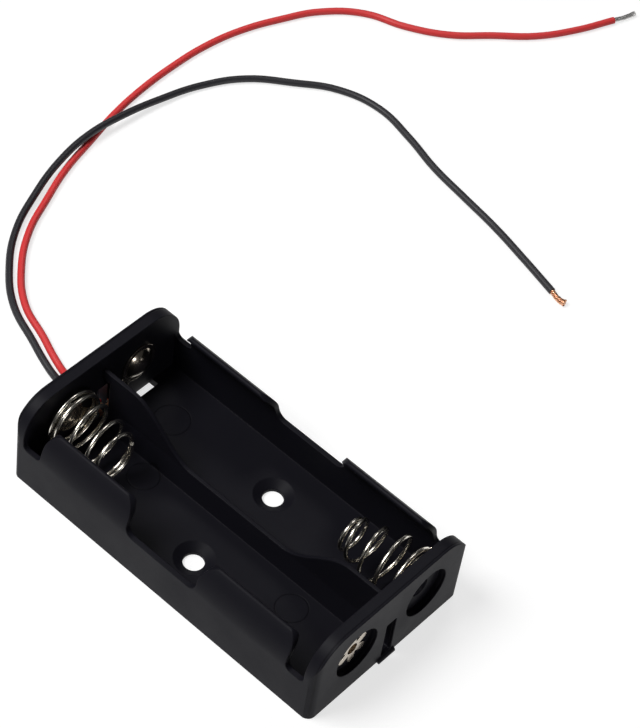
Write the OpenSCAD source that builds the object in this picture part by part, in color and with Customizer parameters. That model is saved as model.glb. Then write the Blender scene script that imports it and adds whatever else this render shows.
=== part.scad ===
// Two-bay cylindrical cell holder: a one-piece black moulding with snap wings,
// conical wire springs, riveted contacts, a series link and two soldered leads.
// Millimetres. X runs along the cells, Y across them, Z up from the mounting face.

/* [Cells] */
// diameter of the cell that a bay takes
cell_d = 14.2; // [14:0.1:14.5]
// play between a cell and the two sides of its bay
bay_play = 0.35; // [0.2:0.05:0.5]

/* [Moulding] */
// overall length over the two end plates
body_l = 58; // [57:0.5:60]
// overall height of the end plates
body_h = 14.8; // [14.4:0.1:15.6]
// thickness of the floor
floor_t = 1.4; // [1.2:0.1:1.8]
// thickness of an end plate
plate_t = 2; // [1.8:0.1:2.4]
// thickness of a side wall and of its wings
side_t = 0.85; // [0.7:0.05:1]
// thickness of the divider's web and top edge
divider_t = 0.6; // [0.5:0.1:0.9]
// thickness of the divider where it stands on the floor
divider_foot = 1.9; // [1.2:0.1:2.2]
// height of the low part of the side walls
side_low = 7.4; // [6.8:0.1:8]
// height of the divider at its ends
divider_high = 12.4; // [11.8:0.1:13]
// height of the divider at mid-length
divider_low = 5.4; // [4:0.1:6]
// radius of the top corners of an end plate
plate_r = 5.8; // [4:0.1:6.4]
// radius of the four upright corners
corner_r = 1.3; // [0.8:0.1:1.8]

/* [Snap wings] */
// distance from mid-length to the inner edge of a wing
wing_from = 6.7; // [5:0.1:9]
// distance from mid-length to the outer edge of a wing
wing_to = 23.6; // [22:0.1:24.4]
// outer radius of the inward curl
wing_r = 6.8; // [6.4:0.1:7.2]
// angle that the curl turns through before its round tip
wing_turn = 47; // [40:1:52]
// radius of a wing's corner toward mid-length
wing_in_r = 2.8; // [1:0.1:3.4]
// radius of a wing's corner toward its end plate
wing_out_r = 2.2; // [1:0.1:3]

/* [Fixing holes] */
// spacing of the two screw holes across the holder
hole_pitch = 16.4; // [15:0.1:17]
// diameter of a screw hole
hole_d = 3.2; // [2.8:0.1:3.4]
// diameter of the countersink at the floor
sink_d = 6.1; // [5.4:0.1:6.4]
// depth of the countersink
sink_deep = 0.85; // [0.5:0.05:0.95]

/* [Contacts] */
// distance from the divider's middle to the contact axis
contact_y = 7.15; // [6.9:0.05:7.4]
// height of the contact axis
contact_z = 8.1; // [7.8:0.1:8.4]
// diameter of the round recesses outside the end plates
recess_d = 8.2; // [7.6:0.1:9]
// depth of these recesses
recess_deep = 1.2; // [1:0.1:1.3]
// diameter of the contact holes in the end plates
contact_hole_d = 3.1; // [2.8:0.1:3.4]
// thickness of the contact tags and of the link
tag_t = 0.3; // [0.2:0.05:0.4]
// diameter of the spring wire
wire_d = 0.65; // [0.5:0.05:0.7]

/* [Leads] */
// diameter of a lead over its insulation
lead_d = 1.2; // [1:0.1:1.3]
// diameter of the stranded conductor
core_d = 0.65; // [0.5:0.05:0.7]
// width of the slots through the end plates
slot_w = 2.1; // [1.7:0.1:2.4]
// height of the top of these slots
slot_h = 8.3; // [7:0.1:8.6]
// height of the sill that closes each slot
sill_h = 0.8; // [0.6:0.1:1]

/* [Hidden] */
$fn = 64;
body_w = 2 * (cell_d + bay_play) + 2 * side_t + divider_t;
inner_x = body_l / 2 - plate_t;
side_y = body_w / 2;
eps = 0.01;
rivet_play = 0.05;
shank_r = contact_hole_d / 2 - rivet_play;
web_t = plate_t - recess_deep;
wing_mid_r = wing_r - side_t / 2;
wing_top = side_low + wing_mid_r * sin(wing_turn) + side_t / 2 + 0.1;
wing_foot_r = 1.5;
notch_r = 1;
slot_r = 0.3;
bead_w = 3.4;
bead_out = 0.45;
rise_from = 8.8;
rise_to = 21;
rise_steps = 16;
petal_t = 0.35;
petal_r = 2.9;
petal_w = 1.3;
petals = 6;
rivet_bore_r = 0.95;
button_r = 2.6;
button_h = 1.1;
spring_head_r = 2.3;
spring_head_h = 0.7;
spring_tag_r = 2.7;
tag_r = 3.3;
tail_w = 2.4;
solder_y = 2.2;
solder_z = 4.2;
solder_r = 1;
eye_r = shank_r + wire_d / 2 + rivet_play;
coil_r = 4.7;
clip_w = 1.8;
clip_gap = 0.05;
clip_grip = 0.5;
clip_angles = [30, 230, 310];
clip_out = coil_r + wire_d / 2 + clip_gap;
link_w = 4;
link_eye = 2.6;
link_rim = 1;
notch_h = contact_z + link_w / 2 + 0.5;
notch_l = 1.6;
vent_w = 3.8;
vent_l = 1.8;
vent_y = 6.8;
vent_under = 0.5;
lead_in = body_l / 2 - plate_t * 0.7;
black_exit_z = 2.5;
red_exit_z = 4;
tip_d = 0.9;
lead_rings = 40;
stub_l = 0.4;

// Points along the black lead, from inside its slot to the cut end of its jacket.
black_route = [
    [-lead_in, 0, black_exit_z], [-28.4, 0, 2.5], [-29.5, 0, 2.5], [-32, 0, 2.2], [-34.5, 0.2, 1.2],
    [-37.5, 0.8, 0.6], [-41, 1.8, 0.6], [-44.5, 3.1, 0.6], [-51.5, 5.8, 0.6],
    [-57.5, 10.5, 0.6], [-62.5, 16.6, 0.7], [-65.7, 23.6, 1.1], [-68, 31, 1.6],
    [-69, 38.5, 1.9], [-68.7, 46, 1.6], [-67.7, 53.5, 1], [-65.8, 61, 0.6],
    [-62, 67.8, 0.6], [-56.2, 73, 0.6], [-50, 77.5, 0.6], [-42.7, 79.3, 0.6],
    [-35, 78, 0.6], [-27.6, 75.9, 0.6], [-20.2, 74.6, 0.6], [-12.6, 73.3, 0.6],
    [-5, 71.5, 0.6], [2.3, 69.6, 0.6]
];

// Points along the red lead.
red_route = [
    [-lead_in, 0, red_exit_z], [-28.4, 0, 4], [-29.5, 0, 4], [-32, 0.4, 3.5], [-34.5, 1.3, 1.9],
    [-37.2, 2.3, 0.7], [-40.5, 3.4, 0.6], [-44, 4.8, 0.6], [-50.5, 7.2, 0.6],
    [-56.4, 12, 0.6], [-61, 18, 0.6], [-64, 24.5, 0.6], [-66.8, 31.5, 0.6],
    [-68.7, 38.7, 0.6], [-70.5, 46, 0.6], [-71.6, 53.4, 0.6], [-72, 60.7, 0.6],
    [-71.8, 68.2, 0.6], [-70.5, 75.5, 0.6], [-68, 82.5, 0.6], [-64.7, 89.2, 0.6],
    [-59.5, 94.5, 0.6], [-52.7, 97.4, 0.6], [-46.5, 101.5, 0.6], [-41.5, 107, 0.6],
    [-36.5, 112.5, 0.6], [-32.8, 119, 0.6], [-30, 126, 0.6]
];

// Bare conductor beyond each jacket, lying on the ground.
black_tip_route = [[3.6, 69.2, 0.5], [4.6, 69.1, 0.5], [5.4, 69.3, 0.5]];
red_tip_route = [[-29.3, 127.7, 0.5], [-28.9, 129.2, 0.5], [-28.7, 130.5, 0.5]];

// Bare conductor inside, round the divider's notched end, to its tag.
core_rest = -inner_x + tag_t + core_d / 2;
black_core_route = [
    [core_rest - 0.2, -0.2, 2.7], [core_rest, -0.9, 3.3], [core_rest, -1.5, 3.8],
    [core_rest, -solder_y, solder_z]
];
red_core_route = [
    [core_rest - 0.2, 0.2, 4], [core_rest, 0.9, 4.1], [core_rest, 1.5, 4.2],
    [core_rest, solder_y, solder_z]
];

// Resting height of the first coil on its tag.
coil_seat = tag_t + wire_d / 2 + 0.02;

// Turns of the back spring against its radius and its distance from the plate,
// and how far its free end leans in Y and Z for each millimetre.
back_radius = [[0, eye_r], [0.8, eye_r], [1.5, coil_r], [3.5, coil_r], [5.5, 4.5], [6.5, 3.6], [6.85, 3.4]];
back_reach = [
    [0, coil_seat], [1.5, coil_seat], [2.5, coil_seat + 0.75],
    [3.5, 2.6], [4.5, 6.1], [5.5, 9.2], [6.5, 10.3], [6.85, 10.4]
];
back_turns = 6.85;
back_start = 78;
back_lean = [-0.06, -0.05];

// The front spring's turns are counted from a little past its straight leg's bend.
front_radius = [[0, coil_r], [0.6, coil_r], [1, 5], [2.1, 4.9], [3.1, 3.7], [4.1, 2.9], [5.1, 2.5]];
front_reach = [
    [0, coil_seat], [0.62, coil_seat], [0.95, 1.35], [1.1, 1.6],
    [2.1, 4.7], [3.1, 8.1], [4.1, 11.3], [5.1, 11.9]
];
front_turns = 5.1;
front_start = 68;
front_lean = [0.02, -0.01];
leg_bend = 1.2;
leg_back = 2.4;
leg_lead = 0.6;
bend_past = 12;
coil_steps = 20;
ring_sides = 8;

// name of the sub-part to build, or all

// ---- drawing planes ----

// A drawing in Y and Z, made solid from x0 to x1.
module across(x0, x1) {
    translate([x0, 0, 0])
        rotate([90, 0, 90])
            linear_extrude(x1 - x0)
                children();
}

// A drawing in X and Z, made solid from y0 to y1.
module along(y0, y1) {
    translate([0, y1, 0])
        rotate([90, 0, 0])
            linear_extrude(y1 - y0)
                children();
}

// A rectangle with all four corners round.
module rounded(x0, y0, x1, y1, r) {
    translate([x0 + r, y0])
        square([x1 - x0 - 2 * r, y1 - y0]);
    translate([x0, y0 + r])
        square([x1 - x0, y1 - y0 - 2 * r]);
    for (x = [x0 + r, x1 - r], y = [y0 + r, y1 - r])
        translate([x, y])
            circle(r);
}

// ---- one-piece moulding ----

// End plate seen along the holder: square at the foot, round at the top corners.
module plate_outline() {
    translate([-side_y, 0])
        square([body_w, body_h - plate_r]);
    translate([-side_y + plate_r, 0])
        square([body_w - 2 * plate_r, body_h]);
    for (s = [-1, 1])
        translate([s * (side_y - plate_r), body_h - plate_r])
            circle(plate_r);
}

// Section of a side wall: upright, then curled inward to a round tip.
module side_section() {
    curl_y = side_y - wing_r;
    curl_z = side_low;
    far = 3 * wing_r;
    translate([side_y - side_t, eps])
        square([side_t, side_low]);
    intersection() {
        translate([curl_y, curl_z])
            difference() {
                circle(wing_r);
                circle(wing_r - side_t);
            }
        polygon([
            [curl_y, curl_z], [curl_y + far, curl_z],
            [curl_y + far * cos(wing_turn), curl_z + far * sin(wing_turn)]
        ]);
    }
    translate([curl_y + wing_mid_r * cos(wing_turn), curl_z + wing_mid_r * sin(wing_turn)])
        circle(side_t / 2);
}

// What lies between a square corner at x and z and a quarter round of radius r
// in it; sx and sz point from the corner toward the round's centre.
module corner_piece(x, z, r, sx, sz) {
    difference() {
        translate([min(x - sx * eps, x + sx * r), min(z - sz * eps, z + sz * r)])
            square(r + eps);
        translate([x + sx * r, z + sz * r])
            circle(r);
    }
}

// Elevation of one long side: low wall and two wings with round corners and feet.
module side_elevation() {
    translate([-inner_x - plate_t / 2, 0])
        square([2 * inner_x + plate_t, side_low]);
    for (m = [0, 1])
        mirror([m, 0]) {
            difference() {
                translate([wing_from, side_low / 2])
                    square([wing_to - wing_from, wing_top - side_low / 2]);
                corner_piece(wing_from, wing_top, wing_in_r, 1, -1);
                corner_piece(wing_to, wing_top, wing_out_r, -1, -1);
            }
            corner_piece(wing_from, side_low, wing_foot_r, -1, 1);
            corner_piece(wing_to, side_low, notch_r, 1, 1);
            corner_piece(inner_x, side_low, notch_r, -1, 1);
        }
}

module side_wall() {
    intersection() {
        across(-inner_x - plate_t / 2, inner_x + plate_t / 2)
            side_section();
        along(0, side_y + 1)
            side_elevation();
    }
}

// Top edge of the divider: low at mid-length, an even rise, high at the ends.
function rise_z(t) = divider_low + (divider_high - divider_low) * (1 - cos(180 * t)) / 2;
function rise_x(t) = rise_from + (rise_to - rise_from) * t;
function rise_point(i, s) = [s * rise_x(i / rise_steps), rise_z(i / rise_steps)];

// Section of the divider: a thin web on a foot that widens to the floor.
module divider_section() {
    polygon([
        [-divider_foot / 2, eps], [divider_foot / 2, eps],
        [divider_foot / 2, floor_t], [divider_t / 2, divider_low],
        [divider_t / 2, body_h], [-divider_t / 2, body_h],
        [-divider_t / 2, divider_low], [-divider_foot / 2, floor_t]
    ]);
}

module divider() {
    reach = inner_x + plate_t / 2;
    difference() {
        intersection() {
            across(-reach, reach)
                divider_section();
            along(-divider_foot, divider_foot)
                polygon(concat(
                    [[reach, 0], [reach, divider_high]],
                    [for (i = [rise_steps:-1:0]) rise_point(i, 1)],
                    [for (i = [0:rise_steps]) rise_point(i, -1)],
                    [[-reach, divider_high], [-reach, 0]]
                ));
        }
        for (m = [0, 1])
            mirror([m, 0, 0])
                translate([inner_x - notch_l, -divider_foot, floor_t])
                    cube([reach, 2 * divider_foot, notch_h - floor_t]);
    }
}

// Small bead along the foot of an end plate, below its slot.
module slot_bead() {
    along(-bead_w / 2, bead_w / 2)
        intersection() {
            translate([body_l / 2 + bead_out - sill_h, 0])
                circle(sill_h);
            square([body_l, sill_h]);
        }
}

// Cuts of one end plate: recesses, contact holes and the lead slot.
module plate_cuts() {
    for (s = [-1, 1]) {
        translate([body_l / 2 - recess_deep, s * contact_y, contact_z])
            rotate([0, 90, 0])
                cylinder(h = recess_deep + 1, d = recess_d);
        translate([inner_x - 1, s * contact_y, contact_z])
            rotate([0, 90, 0])
                cylinder(h = plate_t, d = contact_hole_d);
    }
    across(inner_x - eps, body_l / 2 + 1)
        rounded(-slot_w / 2, sill_h, slot_w / 2, slot_h, slot_r);
}

module screw_hole() {
    translate([0, 0, -1])
        cylinder(h = floor_t + 2, d = hole_d);
    translate([0, 0, floor_t - sink_deep])
        cylinder(h = sink_deep, d1 = hole_d, d2 = sink_d);
    translate([0, 0, floor_t - eps])
        cylinder(h = 1, d = sink_d);
}

module holder_body() {
    color([0.16, 0.16, 0.18])
        difference() {
            union() {
                linear_extrude(floor_t)
                    rounded(-body_l / 2, -side_y, body_l / 2, side_y, corner_r);
                intersection() {
                    linear_extrude(body_h)
                        rounded(-body_l / 2, -side_y, body_l / 2, side_y, corner_r);
                    union() {
                        across(-body_l / 2, -inner_x)
                            plate_outline();
                        across(inner_x, body_l / 2)
                            plate_outline();
                    }
                }
                side_wall();
                mirror([0, 1, 0])
                    side_wall();
                divider();
                slot_bead();
                mirror([1, 0, 0])
                    slot_bead();
            }
            plate_cuts();
            mirror([1, 0, 0])
                plate_cuts();
            for (s = [-1, 1])
                translate([0, s * hole_pitch / 2, 0])
                    screw_hole();
            for (a = [0, 180])
                rotate([0, 0, a])
                    translate([-inner_x - vent_under, vent_y, -1])
                        cube([vent_l, vent_w, floor_t + 1 + eps]);
        }
}

// ---- swept wire ----

// Unit vector, and a tube's ring frames carried along its points.
function unit(v) = v / norm(v);
function heading(p, i) = unit(p[min(i + 1, len(p) - 1)] - p[max(i - 1, 0)]);
function square_to(v, t) = unit(v - (v * t) * t);
function frames(p, i, side) =
    i == len(p) ? [] : let (s = square_to(side, heading(p, i))) concat([s], frames(p, i + 1, s));

// A solid round tube of diameter d through the points p.
module tube(p, d, side) {
    n = len(p);
    across_dir = frames(p, 0, side);
    rings = [
        for (i = [0:n - 1], k = [0:ring_sides - 1])
            let (a = across_dir[i], b = cross(heading(p, i), a), w = 360 * (k + 0.5) / ring_sides)
                p[i] + d / 2 * (cos(w) * a + sin(w) * b)
    ];
    skin = [
        for (i = [0:n - 2], k = [0:ring_sides - 1])
            let (m = (k + 1) % ring_sides, q = i * ring_sides)
                [q + k, q + ring_sides + k, q + ring_sides + m, q + m]
    ];
    first = [for (k = [0:ring_sides - 1]) k];
    last = [for (k = [ring_sides - 1:-1:0]) (n - 1) * ring_sides + k];
    polyhedron(points = rings, faces = concat([first], skin, [last]), convexity = 10);
}

// Smooth path through control points, count points long, never below the ground.
function knot(p, i) = p[max(0, min(len(p) - 1, i))];
function lifted(v, rest) = [v[0], v[1], max(v[2], rest)];
function blend(a, b, c, d, t) =
    0.5 * (2 * b + (c - a) * t + (2 * a - 5 * b + 4 * c - d) * t * t + (3 * b - a - 3 * c + d) * t * t * t);
function smooth(p, count, d) = [
    for (j = [0:count - 1])
        let (u = j * (len(p) - 1) / (count - 1), i = min(floor(u), len(p) - 2))
            lifted(blend(knot(p, i - 1), knot(p, i), knot(p, i + 1), knot(p, i + 2), u - i), d / 2)
];

// Coil of a spring: turns against radius and reach, growing and leaning along +X.
function coil(radius, reach, turns, start, lean) = [
    for (j = [0:ceil(turns * coil_steps)])
        let (t = min(turns, j / coil_steps), a = start + 360 * t, r = lookup(t, radius), x = lookup(t, reach))
            [x, r * cos(a) + lean[0] * x, r * sin(a) + lean[1] * x]
];

// ---- springs ----

module back_spring() {
    color([0.78, 0.77, 0.74])
        translate([-inner_x, -contact_y, contact_z])
            tube(coil(back_radius, back_reach, back_turns, back_start, back_lean), wire_d, [1, 0, 0]);
}

// The front spring starts as a straight leg across its contact hole.
module front_spring() {
    bend_y = sqrt(coil_r * coil_r - 2 * coil_r * leg_bend);
    bend_a = atan2(leg_bend, bend_y);
    leg = [for (y = [-leg_back, 0, bend_y - leg_lead]) [coil_seat, y, 0]];
    turn_in = [
        for (k = [0:4])
            let (a = -90 + (90 + bend_a) * k / 4)
                [coil_seat, bend_y + leg_bend * cos(a), leg_bend + leg_bend * sin(a)]
    ];
    turns = coil(front_radius, front_reach, front_turns, bend_a + bend_past, front_lean);
    color([0.78, 0.77, 0.74])
        translate([inner_x, contact_y, contact_z])
            rotate([0, 0, 180])
                rotate([front_start, 0, 0])
                    tube(concat(leg, turn_in, turns), wire_d, [1, 0, 0]);
}

// ---- rivets, tags and link ----

// Separate round-ended petals spread over the recess floor from the shank's rim.
module petal_star() {
    for (i = [0:petals - 1])
        rotate(360 * i / petals) {
            translate([0, -petal_w / 2])
                square([petal_r - petal_w / 2, petal_w]);
            translate([petal_r - petal_w / 2, 0])
                circle(d = petal_w);
        }
}

// Tubular rivet along +Z: spread petals outside, shank, domed head inside.
module tube_rivet(seat, head_r, head_h) {
    dome_r = (head_r * head_r + head_h * head_h) / (2 * head_h);
    difference() {
        union() {
            translate([0, 0, -web_t - petal_t])
                linear_extrude(petal_t)
                    petal_star();
            translate([0, 0, -web_t - petal_t / 2])
                cylinder(h = web_t + petal_t / 2 + seat + eps, r = shank_r);
            intersection() {
                translate([0, 0, seat + head_h - dome_r])
                    sphere(dome_r);
                translate([0, 0, seat])
                    cylinder(h = head_h + 1, r = head_r);
            }
        }
        translate([0, 0, -web_t - petal_t - 1])
            cylinder(h = web_t + petal_t + 1, r = rivet_bore_r);
    }
}

// Places a rivet drawn along +Z on the back plate, head toward the bay.
module at_back(y) {
    translate([-inner_x, y, contact_z])
        rotate([0, 90, 0])
            children();
}

module at_front(y) {
    translate([inner_x, y, contact_z])
        rotate([0, -90, 0])
            children();
}

module back_spring_rivet() {
    color([0.8, 0.79, 0.76])
        at_back(-contact_y)
            tube_rivet(tag_t + wire_d, spring_head_r, spring_head_h);
}

module positive_rivet_back() {
    color([0.8, 0.79, 0.76])
        at_back(contact_y)
            tube_rivet(tag_t, button_r, button_h);
}

module positive_rivet_front() {
    color([0.8, 0.79, 0.76])
        at_front(-contact_y)
            tube_rivet(tag_t, button_r, button_h);
}

// Outline of a solder tag about Y and Z: an eye and a tail toward the divider.
module tag_outline(s, eye) {
    run = [solder_y - contact_y, solder_z - contact_z];
    difference() {
        union() {
            translate([s * contact_y, contact_z])
                circle(eye);
            translate([s * contact_y, contact_z])
                rotate(s > 0 ? atan2(run[1], run[0]) : atan2(run[1], -run[0]))
                    translate([0, -tail_w / 2])
                        square([norm(run), tail_w]);
            translate([s * solder_y, solder_z])
                circle(d = tail_w);
        }
        translate([s * contact_y, contact_z])
            circle(d = contact_hole_d);
    }
}

module negative_tag() {
    color([0.74, 0.73, 0.7])
        across(-inner_x, -inner_x + tag_t)
            tag_outline(-1, spring_tag_r);
}

module positive_tag() {
    color([0.74, 0.73, 0.7])
        across(-inner_x, -inner_x + tag_t)
            tag_outline(1, tag_r);
}

// Series link: a ring under the front spring, a band through the divider's
// notch, and an eye under the positive rivet of the other bay.
module link_strap() {
    lip = wire_d + clip_gap + tag_t;
    color([0.74, 0.73, 0.7]) {
        across(inner_x - tag_t, inner_x)
            difference() {
                union() {
                    translate([contact_y, contact_z])
                        circle(clip_out + tag_t);
                    translate([-contact_y, contact_z - link_w / 2])
                        square([2 * contact_y - link_eye - link_rim, link_w]);
                    translate([-contact_y, contact_z])
                        circle(tag_r);
                }
                translate([contact_y, contact_z])
                    circle(link_eye);
                translate([-contact_y, contact_z])
                    circle(d = contact_hole_d);
            }
        for (a = clip_angles)
            translate([inner_x - tag_t, contact_y, contact_z])
                rotate([a, 0, 0]) {
                    translate([-lip, clip_out, -clip_w / 2])
                        cube([lip + eps, tag_t, clip_w]);
                    translate([-lip, clip_out - clip_grip, -clip_w / 2])
                        cube([tag_t, clip_grip + eps, clip_w]);
                }
    }
}

// ---- solder and leads ----

black_path = smooth(black_route, lead_rings, lead_d);
red_path = smooth(red_route, lead_rings, lead_d);

module solder_on(s) {
    color([0.8, 0.8, 0.8])
        translate([-inner_x + tag_t, s * solder_y, solder_z])
            rotate([0, 90, 0])
                difference() {
                    sphere(solder_r);
                    translate([-2 * solder_r, -2 * solder_r, -4 * solder_r])
                        cube(4 * solder_r);
                }
}

module negative_solder() {
    difference() {
        solder_on(-1);
        black_core_end();
    }
}

module positive_solder() {
    difference() {
        solder_on(1);
        red_core_end();
    }
}

// Conductor that starts square on a jacket's cut face and then follows its route.
module core_from(face, out, route, d) {
    tube(concat([face, face + stub_l * out], route), d, [0, 0, 1]);
}

module black_core_end() {
    color([0.77, 0.5, 0.34])
        core_from(black_path[0], -heading(black_path, 0), black_core_route, core_d);
}

module red_core_end() {
    color([0.77, 0.5, 0.34])
        core_from(red_path[0], -heading(red_path, 0), red_core_route, core_d);
}

module black_lead() {
    color([0.1, 0.1, 0.11])
        tube(black_path, lead_d, [0, 0, 1]);
}

module red_lead() {
    color([0.84, 0.2, 0.22])
        tube(red_path, lead_d, [0, 0, 1]);
}

module black_tip() {
    last = lead_rings - 1;
    color([0.77, 0.5, 0.34])
        core_from(black_path[last], heading(black_path, last), black_tip_route, tip_d);
}

module red_tip() {
    last = lead_rings - 1;
    color([0.8, 0.78, 0.74])
        core_from(red_path[last], heading(red_path, last), red_tip_route, tip_d);
}

holder_body();
back_spring();
front_spring();
back_spring_rivet();
positive_rivet_back();
positive_rivet_front();
negative_tag();
positive_tag();
link_strap();
negative_solder();
positive_solder();
black_core_end();
red_core_end();
black_lead();
red_lead();
black_tip();
red_tip();
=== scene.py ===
import math

import bmesh
import bpy
from mathutils import Matrix, Vector


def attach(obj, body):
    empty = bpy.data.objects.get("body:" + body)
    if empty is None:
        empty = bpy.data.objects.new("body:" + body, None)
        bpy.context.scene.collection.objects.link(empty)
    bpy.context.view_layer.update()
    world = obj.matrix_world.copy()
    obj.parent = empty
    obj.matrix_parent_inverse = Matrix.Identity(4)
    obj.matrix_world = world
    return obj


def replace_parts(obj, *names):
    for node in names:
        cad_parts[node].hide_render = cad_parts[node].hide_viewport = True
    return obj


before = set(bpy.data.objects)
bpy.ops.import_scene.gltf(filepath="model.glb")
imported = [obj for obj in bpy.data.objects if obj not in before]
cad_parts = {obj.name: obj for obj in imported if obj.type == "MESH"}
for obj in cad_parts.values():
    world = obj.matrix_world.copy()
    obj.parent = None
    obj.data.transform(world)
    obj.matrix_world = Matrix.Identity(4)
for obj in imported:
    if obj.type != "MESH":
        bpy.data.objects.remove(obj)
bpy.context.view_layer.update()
MM = 0.001
rad = math.radians


# ---------------------------------------------------------------- camera

CAMERA_AZIMUTH = rad(35.262)
CAMERA_HEIGHT = rad(49.654)
CAMERA_ROLL = rad(9.437)
CAMERA_DISTANCE = 0.3810
CAMERA_RIGHT = 0.012329
CAMERA_UP = 0.023893
LENS = 132.18


def place_camera():
    az, el, roll = CAMERA_AZIMUTH, CAMERA_HEIGHT, CAMERA_ROLL
    back = Vector((math.sin(az) * math.cos(el), -math.cos(az) * math.cos(el), math.sin(el)))
    level = Vector((math.cos(az), math.sin(az), 0))
    rise = back.cross(level)
    right = level * math.cos(roll) + rise * math.sin(roll)
    up = rise * math.cos(roll) - level * math.sin(roll)
    data = bpy.data.cameras.new("camera")
    data.sensor_width = 36
    data.lens = LENS
    data.clip_start = 0.01
    data.clip_end = 20
    cam = bpy.data.objects.new("camera", data)
    bpy.context.scene.collection.objects.link(cam)
    at = back * CAMERA_DISTANCE + right * CAMERA_RIGHT + up * CAMERA_UP
    cam.matrix_world = Matrix((
        (right.x, up.x, back.x, at.x),
        (right.y, up.y, back.y, at.y),
        (right.z, up.z, back.z, at.z),
        (0, 0, 0, 1),
    ))
    bpy.context.scene.camera = cam


place_camera()


# ---------------------------------------------------------------- materials

def feed(tree, socket, value):
    """Links a socket to the value when that is a socket too, and otherwise sets it."""
    if isinstance(value, bpy.types.NodeSocket):
        tree.links.new(value, socket)
    else:
        socket.default_value = value


def new_material(name):
    m = bpy.data.materials.new(name)
    m.use_nodes = True
    tree = m.node_tree
    return m, tree, tree.nodes["Principled BSDF"]


def new_group(name, takes, gives):
    """Empty node group with the named inputs and its one output."""
    group = bpy.data.node_groups.new(name, "ShaderNodeTree")
    for socket_name, kind in takes:
        group.interface.new_socket(socket_name, in_out="INPUT", socket_type="NodeSocket" + kind)
    group.interface.new_socket(gives[0], in_out="OUTPUT", socket_type="NodeSocket" + gives[1])
    taken = group.nodes.new("NodeGroupInput").outputs
    given = group.nodes.new("NodeGroupOutput").inputs[gives[0]]
    return group, taken, given


def place_group(tree, group, values):
    node = tree.nodes.new("ShaderNodeGroup")
    node.node_tree = group
    for key, value in values.items():
        feed(tree, node.inputs[key], value)
    return node.outputs[0]


def object_coords(tree):
    return tree.nodes.new("ShaderNodeTexCoord").outputs["Object"]


def sum_node(tree, operation, first, second=None, clamp=False):
    node = tree.nodes.new("ShaderNodeMath")
    node.operation = operation
    node.use_clamp = clamp
    feed(tree, node.inputs[0], first)
    if second is not None:
        feed(tree, node.inputs[1], second)
    return node.outputs["Value"]


def noise(tree, coords, scale, detail):
    node = tree.nodes.new("ShaderNodeTexNoise")
    node.inputs["Roughness"].default_value = 0.6
    feed(tree, node.inputs["Scale"], scale)
    feed(tree, node.inputs["Detail"], detail)
    feed(tree, node.inputs["Vector"], coords)
    return node.outputs["Fac"]


def spread(tree, value, low, high, to_low, to_high):
    node = tree.nodes.new("ShaderNodeMapRange")
    for key, number in (("From Min", low), ("From Max", high), ("To Min", to_low), ("To Max", to_high)):
        feed(tree, node.inputs[key], number)
    feed(tree, node.inputs["Value"], value)
    return node.outputs["Result"]


def bump(tree, height, strength, distance, normal):
    node = tree.nodes.new("ShaderNodeBump")
    feed(tree, node.inputs["Strength"], strength)
    feed(tree, node.inputs["Distance"], distance)
    feed(tree, node.inputs["Height"], height)
    feed(tree, node.inputs["Normal"], normal)
    return node.outputs["Normal"]


# the part of a noise's range that is spread over a material's two values of roughness
PATCH_LOW, PATCH_HIGH = 0.3, 0.7
# half widths at which a pin mark is full and gone
PIN_LINE_FULL, PIN_LINE_GONE = 0.00004, 0.00014


def rough_patches_group():
    """Roughness that drifts between two values in soft patches."""
    group, taken, given = new_group(
        "rough_patches",
        [("Place", "Vector"), ("Scale", "Float"), ("Detail", "Float"), ("Low", "Float"), ("High", "Float")],
        ("Roughness", "Float"))
    patches = noise(group, taken["Place"], taken["Scale"], taken["Detail"])
    drift = spread(group, patches, PATCH_LOW, PATCH_HIGH, taken["Low"], taken["High"])
    group.links.new(drift, given)
    return group


def grain_group():
    """Normal of a fine grain over edges that are rounded by the given radius."""
    group, taken, given = new_group(
        "fine_grain",
        [("Place", "Vector"), ("Scale", "Float"), ("Strength", "Float"), ("Height", "Float"),
         ("Edge Radius", "Float")],
        ("Normal", "Vector"))
    edges = group.nodes.new("ShaderNodeBevel")
    edges.samples = 6
    feed(group, edges.inputs["Radius"], taken["Edge Radius"])
    grain = noise(group, taken["Place"], taken["Scale"], 3.0)
    normal = bump(group, grain, taken["Strength"], taken["Height"], edges.outputs["Normal"])
    group.links.new(normal, given)
    return group


def pin_mark_group():
    """Mask of the faint round mark that an ejector pin leaves, given as centre and radius."""
    group, taken, given = new_group(
        "pin_mark",
        [("Place", "Vector"), ("Centre", "Vector"), ("Radius", "Float")],
        ("Line", "Float"))
    gap = group.nodes.new("ShaderNodeVectorMath")
    gap.operation = "DISTANCE"
    feed(group, gap.inputs[0], taken["Place"])
    feed(group, gap.inputs[1], taken["Centre"])
    off = sum_node(group, "SUBTRACT", gap.outputs["Value"], taken["Radius"])
    near = sum_node(group, "ABSOLUTE", off)
    group.links.new(spread(group, near, PIN_LINE_FULL, PIN_LINE_GONE, 1.0, 0.0), given)
    return group


ROUGH_PATCHES = rough_patches_group()
FINE_GRAIN = grain_group()
PIN_MARK = pin_mark_group()


def patchy(tree, coords, scale, detail, low, high):
    values = {"Place": coords, "Scale": scale, "Detail": detail, "Low": low, "High": high}
    return place_group(tree, ROUGH_PATCHES, values)


def grained(tree, coords, scale, strength, height, edge):
    values = {"Place": coords, "Scale": scale, "Strength": strength, "Height": height}
    values["Edge Radius"] = edge
    return place_group(tree, FINE_GRAIN, values)


def parting_line(tree, coords, at_x, width):
    """Mask of the fine line that runs round both end plates."""
    split = tree.nodes.new("ShaderNodeSeparateXYZ")
    tree.links.new(coords, split.inputs["Vector"])
    out = sum_node(tree, "ABSOLUTE", split.outputs["X"])
    near = sum_node(tree, "ABSOLUTE", sum_node(tree, "SUBTRACT", out, at_x))
    return spread(tree, near, width * 0.5, width, 1.0, 0.0)


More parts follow.
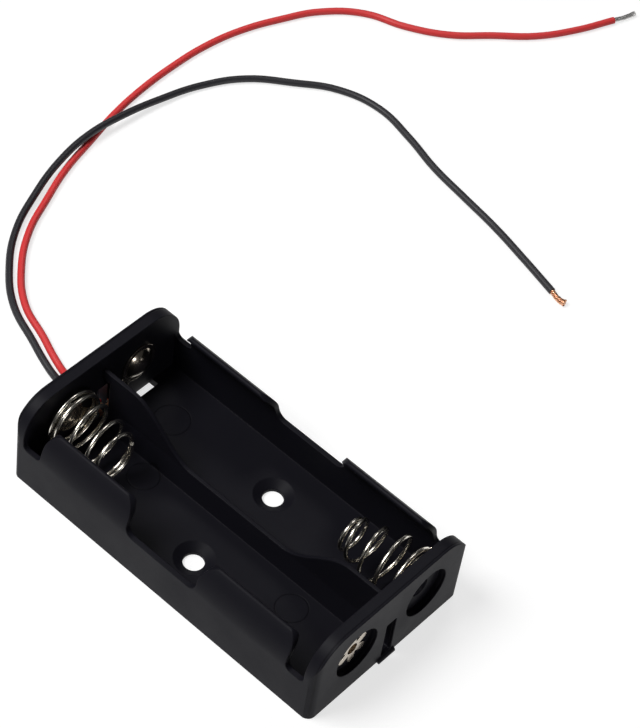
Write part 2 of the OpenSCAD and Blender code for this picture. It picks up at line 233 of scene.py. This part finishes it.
# centre in X and Y and radius of each pin mark on the floor of the bays, in millimetres
PIN_MARKS = [((-15.0, -3.2), 2.4), ((-19.5, 7.2), 2.8), ((15.3, -4.4), 2.4)]
FLOOR_TOP = 0.0014
PARTING_X = 0.02862
PARTING_WIDTH = 0.00012
MARK_DEPTH = 0.00008


def black_moulding():
    m, tree, shade = new_material("black_moulding")
    coords = object_coords(tree)
    shade.inputs["Specular IOR Level"].default_value = 0.11
    tree.links.new(patchy(tree, coords, 90.0, 5.0, 0.46, 0.58), shade.inputs["Roughness"])
    sunk_and_painted_shade = parting_line(tree, coords, PARTING_X, PARTING_WIDTH)
    for (x, y), radius in PIN_MARKS:
        values = {"Place": coords, "Centre": (x * MM, y * MM, FLOOR_TOP), "Radius": radius * MM}
        sunk_and_painted_shade = sum_node(tree, "ADD", sunk_and_painted_shade, place_group(tree, PIN_MARK, values), clamp=True)
    # painted shade: the parting line and the pin-mark rings are mixed to the darker colour below, standing
    # in for the shade that falls in these sunk lines; the same mask also presses them in through the bump
    painted_shade_tone = tree.nodes.new("ShaderNodeMix")
    painted_shade_tone.data_type = "RGBA"
    painted_shade_tone.inputs["A"].default_value = (0.0080, 0.0077, 0.0116, 1)
    painted_shade_tone.inputs["B"].default_value = (0.0044, 0.0042, 0.0066, 1)
    tree.links.new(sunk_and_painted_shade, painted_shade_tone.inputs["Factor"])
    tree.links.new(painted_shade_tone.outputs["Result"], shade.inputs["Base Color"])
    grain = grained(tree, coords, 2600.0, 0.10, 0.00006, 0.00022)
    pressed = sum_node(tree, "MULTIPLY", sunk_and_painted_shade, -1.0)
    tree.links.new(bump(tree, pressed, 0.5, MARK_DEPTH, grain), shade.inputs["Normal"])
    return m


def plated(name, colour, low, high, edge=None):
    m, tree, shade = new_material(name)
    coords = object_coords(tree)
    shade.inputs["Base Color"].default_value = (*colour, 1)
    shade.inputs["Metallic"].default_value = 1
    tree.links.new(patchy(tree, coords, 150.0, 3.0, low, high), shade.inputs["Roughness"])
    if edge:
        tree.links.new(grained(tree, coords, 900.0, 0.02, 0.00002, edge), shade.inputs["Normal"])
    return m


def jacket(name, colour, low, high):
    m, tree, shade = new_material(name)
    coords = object_coords(tree)
    shade.inputs["Base Color"].default_value = (*colour, 1)
    tree.links.new(patchy(tree, coords, 140.0, 3.0, low, high), shade.inputs["Roughness"])
    tree.links.new(grained(tree, coords, 500.0, 0.12, 0.00005, 0.0), shade.inputs["Normal"])
    return m


FLOOR_GLOW = 0.72


def pale_floor():
    """White to the camera, to metal and to glass, and still darker where the holder shades it."""
    m, tree, shade = new_material("pale_floor")
    shade.inputs["Base Color"].default_value = (0.42, 0.42, 0.42, 1)
    shade.inputs["Roughness"].default_value = 0.9
    shade.inputs["Specular IOR Level"].default_value = 0.0
    shade.inputs["Emission Color"].default_value = (1, 1, 1, 1)
    path = tree.nodes.new("ShaderNodeLightPath").outputs
    seen = sum_node(tree, "MAXIMUM", path["Is Camera Ray"], path["Is Glossy Ray"])
    seen = sum_node(tree, "MAXIMUM", seen, path["Is Transmission Ray"])
    tree.links.new(sum_node(tree, "MULTIPLY", seen, FLOOR_GLOW), shade.inputs["Emission Strength"])
    return m


MOULDING = black_moulding()
WIRE = plated("plated_wire", (0.82, 0.78, 0.70), 0.22, 0.26)
PLATE = plated("plated_steel", (0.62, 0.55, 0.46), 0.16, 0.28, 0.00008)
SOLDER = plated("solder", (0.66, 0.66, 0.67), 0.22, 0.34)
COPPER = plated("bare_copper", (0.80, 0.44, 0.27), 0.22, 0.34)
TINNED = plated("tinned_strands", (0.72, 0.71, 0.70), 0.24, 0.36)
BLACK_JACKET = jacket("black_jacket", (0.020, 0.019, 0.024), 0.44, 0.54)
RED_JACKET = jacket("red_jacket", (0.84, 0.050, 0.052), 0.40, 0.50)

SLOTS = {
    "holder_body": MOULDING,
    "back_spring_rivet": PLATE,
    "positive_rivet_back": PLATE,
    "positive_rivet_front": PLATE,
    "negative_tag": PLATE,
    "positive_tag": PLATE,
    "link_strap": PLATE,
    "negative_solder": SOLDER,
    "positive_solder": SOLDER,
    "black_core_end": COPPER,
    "red_core_end": COPPER,
}
for node, material in SLOTS.items():
    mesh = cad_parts[node].data
    mesh.materials.clear()
    mesh.materials.append(material)


# ---------------------------------------------------------------- pieces

def link_piece(obj, material):
    obj.data.materials.append(material)
    bpy.context.scene.collection.objects.link(obj)
    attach(obj, "root")
    return obj


def round_curve(name, diameter, resolution):
    """Empty curve that is drawn as closed round wire."""
    curve = bpy.data.curves.new(name, "CURVE")
    curve.dimensions = "3D"
    curve.bevel_depth = diameter / 2
    curve.bevel_resolution = resolution
    curve.use_fill_caps = True
    return curve


def wire_curve(name, points, diameter, material, smooth_path=True):
    curve = round_curve(name, diameter, 4)
    if smooth_path:
        spline = curve.splines.new("BEZIER")
        spline.bezier_points.add(len(points) - 1)
        for knot, point in zip(spline.bezier_points, points):
            knot.co = point
            knot.handle_left_type = "AUTO"
            knot.handle_right_type = "AUTO"
        spline.resolution_u = 6
    else:
        spline = curve.splines.new("POLY")
        spline.points.add(len(points) - 1)
        for knot, point in zip(spline.points, points):
            knot.co = (*point, 1)
        spline.use_smooth = True
    obj = bpy.data.objects.new(name, curve)
    return link_piece(obj, material)


def rounded_path(path, passes=6):
    """Softens the kinks that a table of turns leaves, with both ends kept in place."""
    for _ in range(passes):
        inner = [(a + b * 2 + c) / 4 for a, b, c in zip(path, path[1:], path[2:])]
        path = [path[0]] + inner + [path[-1]]
    return path


def on_table(table, t):
    for (t0, v0), (t1, v1) in zip(table, table[1:]):
        if t <= t1:
            return v0 + (v1 - v0) * (t - t0) / (t1 - t0)
    return table[-1][1]


def coil_points(radius, reach, turns, start, lean, steps=48):
    points = []
    for j in range(int(turns * steps) + 1):
        t = j / steps
        a = rad(start) + 2 * math.pi * t
        r, x = on_table(radius, t), on_table(reach, t)
        points.append(Vector((x, r * math.cos(a) + lean[0] * x, r * math.sin(a) + lean[1] * x)))
    return points


# ---------------------------------------------------------------- leads

LEAD_D = 0.0012
BLACK_ROUTE = [
    (-27.6, 0, 2.5), (-28.4, 0, 2.5), (-29.5, 0, 2.5), (-32, 0, 2.2), (-34.5, 0.2, 1.2),
    (-37.5, 0.8, 0.6), (-41, 1.8, 0.6), (-44.5, 3.1, 0.6), (-51.5, 5.8, 0.6),
    (-57.5, 10.5, 0.6), (-62.5, 16.6, 0.7), (-65.7, 23.6, 1.1), (-68, 31, 1.6),
    (-69, 38.5, 1.9), (-68.7, 46, 1.6), (-67.7, 53.5, 1), (-65.8, 61, 0.6),
    (-62, 67.8, 0.6), (-56.2, 73, 0.6), (-50, 77.5, 0.6), (-42.7, 79.3, 0.6),
    (-35, 78, 0.6), (-27.6, 75.9, 0.6), (-20.2, 74.6, 0.6), (-12.6, 73.3, 0.6),
    (-5, 71.5, 0.6), (2.3, 69.6, 0.6),
]
RED_ROUTE = [
    (-27.6, 0, 4), (-28.4, 0, 4), (-29.5, 0, 4), (-32, 0.4, 3.5), (-34.5, 1.3, 1.9),
    (-37.2, 2.3, 0.7), (-40.5, 3.4, 0.6), (-44, 4.8, 0.6), (-50.5, 7.2, 0.6),
    (-56.4, 12, 0.6), (-61, 18, 0.6), (-64, 24.5, 0.6), (-66.8, 31.5, 0.6),
    (-68.7, 38.7, 0.6), (-70.5, 46, 0.6), (-71.6, 53.4, 0.6), (-72, 60.7, 0.6),
    (-71.8, 68.2, 0.6), (-70.5, 75.5, 0.6), (-68, 82.5, 0.6), (-64.7, 89.2, 0.6),
    (-59.5, 94.5, 0.6), (-52.7, 97.4, 0.6), (-46.5, 101.5, 0.6), (-41.5, 107, 0.6),
    (-36.5, 112.5, 0.6), (-32.8, 119, 0.6), (-30, 126, 0.6),
]


STRANDS = 8
STRAND_D = 0.00026
BUNDLE_R = 0.00030


def in_metres(points):
    return [Vector(p) * MM for p in points]


def strand_bundle(name, route, twist, splay, material):
    """Twisted bare strands that follow a short route and open out slightly at the end."""
    curve = round_curve(name, STRAND_D, 2)
    points = in_metres(route)
    steps = 26
    path = []
    for j in range(steps + 1):
        u = j / steps * (len(points) - 1)
        i = min(int(u), len(points) - 2)
        path.append(points[i].lerp(points[i + 1], u - i))
    for s in range(STRANDS):
        spline = curve.splines.new("POLY")
        spline.points.add(steps)
        ring = 0 if s == 0 else BUNDLE_R
        for j, at in enumerate(path):
            t = j / steps
            ahead = (path[min(j + 1, steps)] - path[max(j - 1, 0)]).normalized()
            side = ahead.cross(Vector((0, 0, 1))).normalized()
            top = side.cross(ahead)
            a = 2 * math.pi * (s / (STRANDS - 1) + twist * t)
            r = ring * (1 + splay * t * t * (0.6 + 0.8 * ((s * 7) % 5) / 4))
            spot = at + side * (r * math.cos(a)) + top * (r * math.sin(a))
            spot.z = max(spot.z, STRAND_D / 2)
            spline.points[j].co = (*spot, 1)
        spline.use_smooth = True
    return link_piece(bpy.data.objects.new(name, curve), material)


black_tip = strand_bundle(
    "black_tip_strands",
    [(1.2, 69.88, 0.6), (2.3, 69.6, 0.6), (3.6, 69.2, 0.5), (4.6, 69.1, 0.5), (5.2, 69.25, 0.5)],
    1.4, 0.5, COPPER)
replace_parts(black_tip, "black_tip")
red_tip = strand_bundle(
    "red_tip_strands",
    [(-30.4, 124.9, 0.6), (-30, 126, 0.6), (-29.3, 127.7, 0.5), (-28.9, 129.2, 0.5), (-28.7, 130.2, 0.5)],
    1.6, 0.15, TINNED)
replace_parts(red_tip, "red_tip")

black_lead = wire_curve("black_cord", in_metres(BLACK_ROUTE), LEAD_D, BLACK_JACKET)
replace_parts(black_lead, "black_lead")
red_lead = wire_curve("red_cord", in_metres(RED_ROUTE), LEAD_D, RED_JACKET)
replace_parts(red_lead, "red_lead")


# ---------------------------------------------------------------- springs

# in millimetres: inside of the end plates, and the contacts' height and distance from the middle
INNER_X = 27
CONTACT_Y = 7.15
CONTACT_Z = 8.1
WIRE_D = 0.65
COIL_R = 4.7
COIL_SEAT = 0.645
EYE_R = 1.875


def back_spring_wire():
    """Eye on the rivet, seated coil, then open turns that narrow toward the cell."""
    path = coil_points(
        [(0, EYE_R), (0.8, EYE_R), (1.5, COIL_R), (3.5, COIL_R), (5.5, 4.5), (6.5, 3.6), (6.85, 3.4)],
        [(0, COIL_SEAT), (1.5, COIL_SEAT), (2.5, 1.395), (3.5, 2.6), (4.5, 6.1), (5.5, 9.2),
         (6.5, 10.3), (6.85, 10.4)],
        6.85, 78, (-0.06, -0.05))
    seat = Vector((-INNER_X, -CONTACT_Y, CONTACT_Z))
    places = in_metres([seat + p for p in rounded_path(path)])
    return wire_curve("back_spring_wire", places, WIRE_D * MM, WIRE, smooth_path=False)


def front_spring_wire():
    """Straight leg across the contact hole, a small bend, one seated coil, then open turns."""
    leg_turn, leg_bend = 68, 1.2
    bend_y = math.sqrt(COIL_R * COIL_R - 2 * COIL_R * leg_bend)
    bend_a = math.degrees(math.atan2(leg_bend, bend_y))
    path = [Vector((COIL_SEAT, y, 0)) for y in (-2.4, -1.2, 0, 1.3, bend_y - 0.6)]
    for k in range(9):
        a = rad(-90 + (90 + bend_a) * k / 8)
        bend = Vector((0, math.cos(a), math.sin(a))) * leg_bend
        path.append(Vector((COIL_SEAT, bend_y, leg_bend)) + bend)
    path += coil_points(
        [(0, COIL_R), (0.6, COIL_R), (1, 5), (2.1, 4.9), (3.1, 3.7), (4.1, 2.9), (5.1, 2.5)],
        [(0, COIL_SEAT), (0.62, COIL_SEAT), (0.95, 1.35), (1.1, 1.6), (2.1, 4.7), (3.1, 8.1),
         (4.1, 11.3), (5.1, 11.9)],
        5.1, bend_a + 12, (0.02, -0.01))
    turn = Matrix.Rotation(rad(leg_turn), 3, "X")
    turned = [turn @ p for p in rounded_path(path)]
    places = in_metres([(INNER_X - p.x, CONTACT_Y - p.y, CONTACT_Z + p.z) for p in turned])
    return wire_curve("front_spring_wire", places, WIRE_D * MM, WIRE, smooth_path=False)


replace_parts(back_spring_wire(), "back_spring")
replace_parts(front_spring_wire(), "front_spring")


# ---------------------------------------------------------------- studio

def area_light(name, toward, distance, size, watts):
    """Soft round lamp in the given direction from the holder's middle, turned to face it."""
    data = bpy.data.lights.new(name, "AREA")
    data.shape = "DISK"
    data.size = size
    data.energy = watts
    lamp = bpy.data.objects.new(name, data)
    way = Vector(toward).normalized()
    lamp.location = way * distance
    lamp.rotation_mode = "QUATERNION"
    lamp.rotation_quaternion = way.to_track_quat("Z", "Y")
    bpy.context.scene.collection.objects.link(lamp)


# the floor lies this far under the holder, so that the two faces don't flicker
FLOOR_DROP = 0.00002


def studio():
    sheet = bmesh.new()
    bmesh.ops.create_grid(sheet, x_segments=1, y_segments=1, size=4.0)
    bmesh.ops.translate(sheet, vec=(0, 0, -FLOOR_DROP), verts=sheet.verts)
    mesh = bpy.data.meshes.new("studio_floor")
    sheet.to_mesh(mesh)
    sheet.free()
    floor = bpy.data.objects.new("studio_floor", mesh)
    mesh.materials.append(pale_floor())
    bpy.context.scene.collection.objects.link(floor)
    area_light("key", (-0.374, -0.398, 0.851), 0.8, 0.46, 5.0)
    area_light("front", (0.93, -0.22, 0.30), 0.9, 0.16, 0.8)
    area_light("rear", (-0.28, 0.52, 0.81), 0.9, 0.30, 0.9)
    world = bpy.data.worlds.new("studio")
    bpy.context.scene.world = world
    world.use_nodes = True
    sky = world.node_tree.nodes["Background"].inputs
    sky["Color"].default_value = (1, 1, 1, 1)
    sky["Strength"].default_value = 0.035


studio()
bpy.context.scene.view_settings.view_transform = "Standard"
